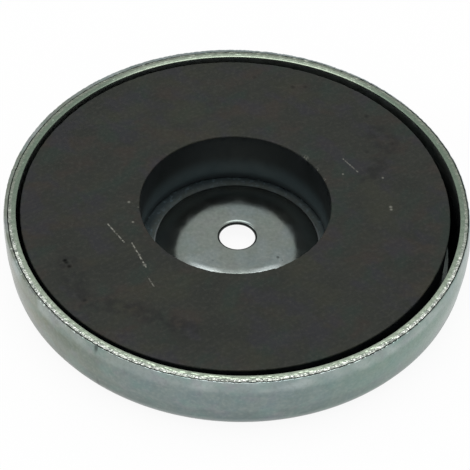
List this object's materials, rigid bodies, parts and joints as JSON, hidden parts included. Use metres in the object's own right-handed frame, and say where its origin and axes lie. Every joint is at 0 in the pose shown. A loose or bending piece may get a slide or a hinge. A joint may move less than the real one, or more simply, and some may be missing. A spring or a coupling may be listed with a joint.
{
  "type": "pot magnet",
  "caption": "Shallow round steel cup holding a bonded ferrite ring magnet, with a screw hole through its raised centre, for holding to steel.",
  "frame": {"origin": "on the cup's axis, in the plane of its flat back, which is the face it rests on", "axes": "+Z along the axis out of the open side, towards the working face; X and Y alike, except that the ring is bonded 0.42 mm towards -X"},
  "size_m": [0.067, 0.067, 0.0103],
  "materials": {
    "zinc_steel": "bright zinc plate on drawn sheet steel",
    "ferrite": "sintered ferrite, face ground matt",
    "adhesive": "cured epoxy"
  },
  "bodies": {
    "root": {"steel_cup": "zinc_steel", "ferrite_ring": "ferrite", "adhesive_film": "adhesive"}
  },
  "joints": []
}
